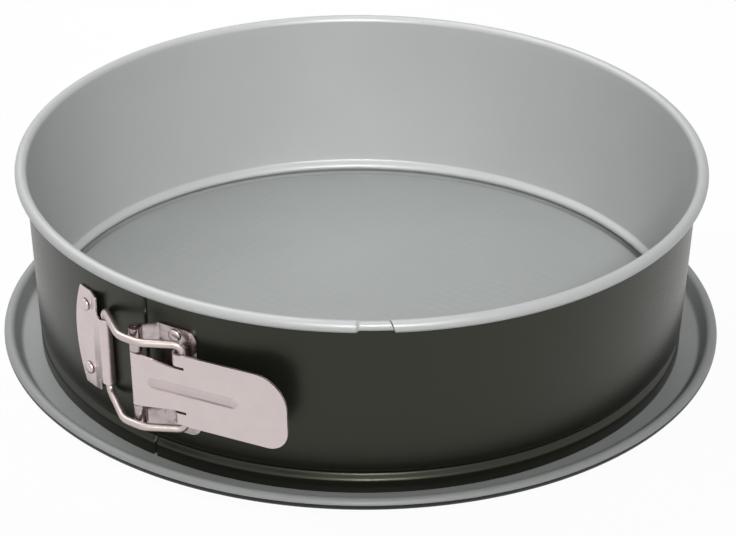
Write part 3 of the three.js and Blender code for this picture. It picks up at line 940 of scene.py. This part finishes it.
def lever_lines():
    """Plan lines of the rolled tongue and of the hooks, with as many points in each."""
    roll = polar((0, 0), pin_roll, np.linspace(90 + TONGUE_ROLL_SWEEP, 90, ROLL_STEPS))
    tongue = joined(roll, line_between(roll[-1], (hook_back, pin_roll), TONGUE_STEPS))
    curl = polar((hook_back, hook_out), wire_roll, np.linspace(270, 90, ROLL_STEPS))
    hook = resampled(joined((HOOK_REACH, hook_out - wire_roll), curl), len(tongue))
    return tongue, hook


def grip_places():
    """Places along the grip, closer together round its end."""
    corner = LEVER_LENGTH - LEVER_TOP_RADIUS
    straight = spaced([hook_back, slot_end, corner], GRIP_STEP)[1:]
    rounded = corner + LEVER_TOP_RADIUS * np.sin(np.linspace(0, np.pi / 2, CORNER_STEPS))[1:]
    return np.concatenate([straight, rounded])


def lever_rows():
    """Heights across the lever, with a row on each edge of its rib, neck, slots and hooks."""
    rises = [neck_half, hook_inner, hook_outer, lever_half]
    falls = [-rise for rise in reversed(rises)]
    return spaced([*falls, RIB_RISE - RIB_MARGIN, RIB_RISE + RIB_MARGIN, *rises], LEVER_STEP)


def lever_plan(rows, tongue, hook, grip):
    """Places along and out from the lever over its grid, their normals, and the rows in the hooks."""
    count = len(tongue)
    plan = np.zeros((count + len(grip), len(rows), 2))
    normal = np.zeros_like(plan)
    in_hook = np.abs(rows) >= hook_inner - TINY
    for which, line in ((~in_hook, tongue), (in_hook, hook)):
        plan[:count, which] = line[:, None]
        normal[:count, which] = left_normals(line)[:, None]
    plan[count:, :, 0] = grip[:, None]
    plan[count:, :, 1] = pin_roll
    normal[count - 1:] = (0, 1)
    return plan, normal, in_hook


def lever_heights(rows, tongue, grip):
    """Heights over the lever's grid: the tongue narrows to its neck, and the grip has round corners."""
    count = len(tongue)
    up = np.tile(rows, (count + len(grip), 1))
    tongue_half = np.interp(tongue[:, 0], [0, hook_back - wire_roll], [TONGUE_WIDTH / 2, neck_half])
    tongue_half[:ROLL_STEPS] = TONGUE_WIDTH / 2
    in_neck = np.abs(rows) <= neck_half + TINY
    up[:count, in_neck] = rows[in_neck] * (tongue_half / neck_half)[:, None]
    low, high = lever_edges(grip)
    above, below = high / lever_half, -low / lever_half
    up[count:] = np.where(rows > 0, rows * above[:, None], rows * below[:, None])
    return up


def lever_cells(rows, count, grip):
    """Solid cells of the lever's grid: all but the slots and what lies beyond the hooks."""
    mids = np.abs(rows[:-1] + rows[1:]) / 2
    cells = np.ones((count + len(grip) - 1, len(mids)), bool)
    cell_ends = np.concatenate([np.full(count - 1, -1.0), grip])
    slot = (mids > neck_half) & (mids < hook_inner)
    cells[np.ix_(cell_ends <= slot_end + TINY, slot | (mids > hook_outer))] = False
    return cells


def build_lever():
    tongue, hook = lever_lines()
    grip = grip_places()
    rows = lever_rows()
    plan, normal, in_hook = lever_plan(rows, tongue, hook, grip)
    up = lever_heights(rows, tongue, grip)
    column = np.arange(len(plan))[:, None]
    ribbed = (column >= ROLL_STEPS - 1) & ~(in_hook & (column < len(tongue)))
    plan[:, :, 1] += rib_height(plan[:, :, 0], up) * ribbed
    middle = np.dstack([on_lever(plan[:, :, 0], plan[:, :, 1]), up])
    normals = np.dstack([lever_direction(normal[:, :, 0], normal[:, :, 1]), np.zeros_like(up)])
    vertices, faces = sheet(middle, normals, lever_cells(rows, len(tongue), grip), PLATE_SHEET)
    obj = piece("buckle_lever", vertices, faces, [plated_steel, rib_shade_steel], "lever", ["clamp_lever"],
                rib_shaded_faces(vertices, faces), matrix=buckle_matrix())
    round_edges(obj)
    return obj


# Wire

def bent_path(corners, bends, step):
    """Smooth path through corner points, each corner rounded to its own bend."""
    corners = [Vector(c) for c in corners]
    points = [corners[0]]
    for before, corner, after, bend in zip(corners, corners[1:], corners[2:], bends[1:]):
        arrive = (corner - before).normalized()
        leave = (after - corner).normalized()
        turn = arrive.angle(leave)
        trim = bend * math.tan(turn / 2)
        enter, leave_at = corner - trim * arrive, corner + trim * leave
        inward = (leave - arrive).normalized()
        centre = corner + inward * (bend / math.cos(turn / 2))
        spoke, end_spoke = enter - centre, leave_at - centre
        steps = max(int(math.degrees(turn) / BEND_TURN), 2)
        axis = spoke.cross(end_spoke).normalized()
        points += [centre + Matrix.Rotation(turn * i / steps, 3, axis) @ spoke for i in range(steps + 1)]
    points.append(corners[-1])
    path = joined(points)
    counts = [max(int(length / step), 1) for length in np.linalg.norm(np.diff(path, axis=0), axis=1)]
    filled = [line_between(a, b, count) for a, b, count in zip(path, path[1:], counts)]
    return joined(*filled)


def build_bail():
    wire = WIRE_DIAMETER / 2
    crest = PIN_STANDOFF + pin_roll + PLATE_SHEET / 2 + CLEARANCE + wire
    spread = ARM_SPREAD / 2
    leg = CATCH_ROLL / 2 + CLEARANCE + WIRE_BEND

    def arm(side):
        return [
            (*hook_axis, side * (spread - TIP_LENGTH)),
            (*hook_axis, side * spread),
            (CREST_RIGHT, crest, side * spread),
            (CREST_LEFT, crest, side * spread),
            (*catch_axis, CATCH_RISE + side * leg),
        ]

    bends = [0, WIRE_BEND, CREST_BEND, CREST_BEND, WIRE_BEND]
    path = bent_path(arm(1) + arm(-1)[::-1], bends + bends[::-1], WIRE_STEP)
    vertices, faces = tube(path, wire, WIRE_SIDES, TIP_ROUND)
    return piece("buckle_bail", vertices, faces, [wire_steel], "bail", ["wire_bail"],
                 matrix=buckle_matrix())


# Rivets

def rivet_matrix(x, up):
    angle = math.asin(x / wall_radius)
    place = Matrix.Translation((x, float(out_at(x, 0)), up))
    axis = Vector((math.sin(angle), math.cos(angle), 0))
    across = Vector((math.cos(angle), -math.sin(angle), 0))
    axes = Matrix((across, Vector((0, 0, 1)), axis)).transposed()
    return buckle_matrix() @ place @ axes.to_4x4()


def build_rivet(name, x, up):
    shank, head = RIVET_SHANK / 2, RIVET_HEAD / 2
    head_seat = CLEARANCE + PLATE_SHEET + CLEARANCE
    tail_seat = -BAND_SHEET - CLEARANCE
    tail = tail_seat - RIVET_TAIL
    dome_foot = head_seat + RIVET_HEAD_EDGE
    dome = polar((0, 0), 1, np.linspace(0, 90, DOME_STEPS))[:-1]
    outline = [
        (0, tail), (head - RIVET_TAIL_CHAMFER, tail), (head, tail + RIVET_TAIL_CHAMFER),
        (head, tail_seat), (shank, tail_seat), (shank, head_seat), (head, head_seat),
        *[(head * c, dome_foot + (RIVET_DOME - RIVET_HEAD_EDGE) * s) for c, s in dome],
        (0, head_seat + RIVET_DOME),
    ]
    vertices, faces = lathe(outline, RIVET_SIDES)
    return piece(name, vertices, faces, [plated_steel], "ring", [name],
                 matrix=rivet_matrix(x, up))


def build_rivets():
    for end, side in (("upper", 1), ("lower", -1)):
        build_rivet(f"catch_rivet_{end}", CATCH_RIVET_X, CATCH_RISE + side * CATCH_RIVET_SPACING / 2)
        build_rivet(f"hinge_rivet_{end}", HINGE_RIVET_X, side * HINGE_RIVET_SPACING / 2)


# Ground, light and camera

def white_ray(nodes, links):
    """One for rays from the camera, from gloss and through glass."""
    path = nodes.new("ShaderNodeLightPath")
    total = path.outputs["Is Camera Ray"]
    for kind in ("Is Glossy Ray", "Is Transmission Ray"):
        either = nodes.new("ShaderNodeMath")
        either.operation = "MAXIMUM"
        links.new(total, either.inputs[0])
        links.new(path.outputs[kind], either.inputs[1])
        total = either.outputs["Value"]
    return total


def build_ground():
    bpy.ops.mesh.primitive_plane_add(size=GROUND_SIZE)
    ground = bpy.context.object
    ground.name = "ground"
    made = bpy.data.materials.new("ground")
    made.use_nodes = True
    nodes, links = made.node_tree.nodes, made.node_tree.links
    nodes.clear()
    out = nodes.new("ShaderNodeOutputMaterial")
    matt = nodes.new("ShaderNodeBsdfDiffuse")
    matt.inputs["Color"].default_value = (GROUND_GREY, GROUND_GREY, GROUND_GREY, 1)
    white = nodes.new("ShaderNodeEmission")
    share = nodes.new("ShaderNodeMath")
    share.operation = "MULTIPLY"
    share.inputs[1].default_value = GROUND_WHITE
    links.new(white_ray(nodes, links), share.inputs[0])
    mix = nodes.new("ShaderNodeMixShader")
    links.new(share.outputs["Value"], mix.inputs["Fac"])
    links.new(matt.outputs["BSDF"], mix.inputs[1])
    links.new(white.outputs["Emission"], mix.inputs[2])
    links.new(mix.outputs["Shader"], out.inputs["Surface"])
    ground.data.materials.append(made)


def build_world():
    world = bpy.data.worlds.new("studio")
    bpy.context.scene.world = world
    world.use_nodes = True
    nodes, links = world.node_tree.nodes, world.node_tree.links
    background = nodes["Background"]
    background.inputs["Color"].default_value = (1, 1, 1, 1)
    level = nodes.new("ShaderNodeMapRange")
    level.inputs["To Min"].default_value = AMBIENT
    level.inputs["To Max"].default_value = 1.0
    links.new(white_ray(nodes, links), level.inputs["Value"])
    links.new(level.outputs["Result"], background.inputs["Strength"])


def place_lamp(data, target, azimuth, elevation, power):
    a, e = math.radians(azimuth), math.radians(elevation)
    away = Vector((math.sin(a) * math.cos(e), -math.cos(a) * math.cos(e), math.sin(e)))
    data.energy = power
    lamp = bpy.data.objects.new(data.name, data)
    lamp.location = target + away * LAMP_DISTANCE
    lamp.rotation_euler = (-away).to_track_quat("-Z", "Y").to_euler()
    bpy.context.scene.collection.objects.link(lamp)


def build_top_lamp():
    """Soft square lamp that looks at the pan."""
    data = bpy.data.lights.new("top", "AREA")
    data.size = TOP_SIZE
    place_lamp(data, Vector(), TOP_AZIMUTH, TOP_ELEVATION, TOP_POWER)


def build_key_lamp():
    """Soft-edged lamp that looks into the pan, at the far side of its wall."""
    data = bpy.data.lights.new("key", "SPOT")
    data.spot_size = math.radians(KEY_CONE)
    data.spot_blend = 1.0
    data.shadow_soft_size = KEY_SOFTNESS
    a = math.radians(KEY_AZIMUTH)
    far_side = -math.sin(a) * PAN_RADIUS, math.cos(a) * PAN_RADIUS
    target = Vector((*far_side, KEY_HEIGHT_SHARE * rim_centre)) * MM
    place_lamp(data, target, KEY_AZIMUTH, KEY_ELEVATION, KEY_POWER)


def build_camera():
    azimuth, pitch, roll = (math.radians(x) for x in (CAMERA_AZIMUTH, CAMERA_PITCH, CAMERA_ROLL))
    away = Vector((math.sin(azimuth), -math.cos(azimuth), 0))
    faced = Matrix.Rotation(math.radians(-CAMERA_YAW), 3, "Z") @ away
    back = faced * math.cos(pitch) + Vector((0, 0, math.sin(pitch)))
    level = Vector((0, 0, 1)).cross(back).normalized()
    rise = back.cross(level)
    right = level * math.cos(roll) + rise * math.sin(roll)
    up = rise * math.cos(roll) - level * math.sin(roll)
    data = bpy.data.cameras.new("camera")
    data.sensor_width = SENSOR_WIDTH
    data.lens = FOCAL_PIXELS / PHOTO_WIDTH * SENSOR_WIDTH
    data.clip_start = CAMERA_NEAR
    camera = bpy.data.objects.new("camera", data)
    axes = Matrix((right, up, back)).transposed().to_4x4()
    place = away * CAMERA_DISTANCE + Vector((0, 0, CAMERA_HEIGHT))
    camera.matrix_world = Matrix.Translation(place * MM) @ axes
    bpy.context.scene.collection.objects.link(camera)
    bpy.context.scene.camera = camera


bpy.context.scene.view_settings.view_transform = "Standard"
build_camera()
build_world()
build_ground()
build_key_lamp()
build_top_lamp()

build_base()
build_ring()
build_catch()
build_hinge()
build_pin()
build_lever()
build_bail()
build_rivets()
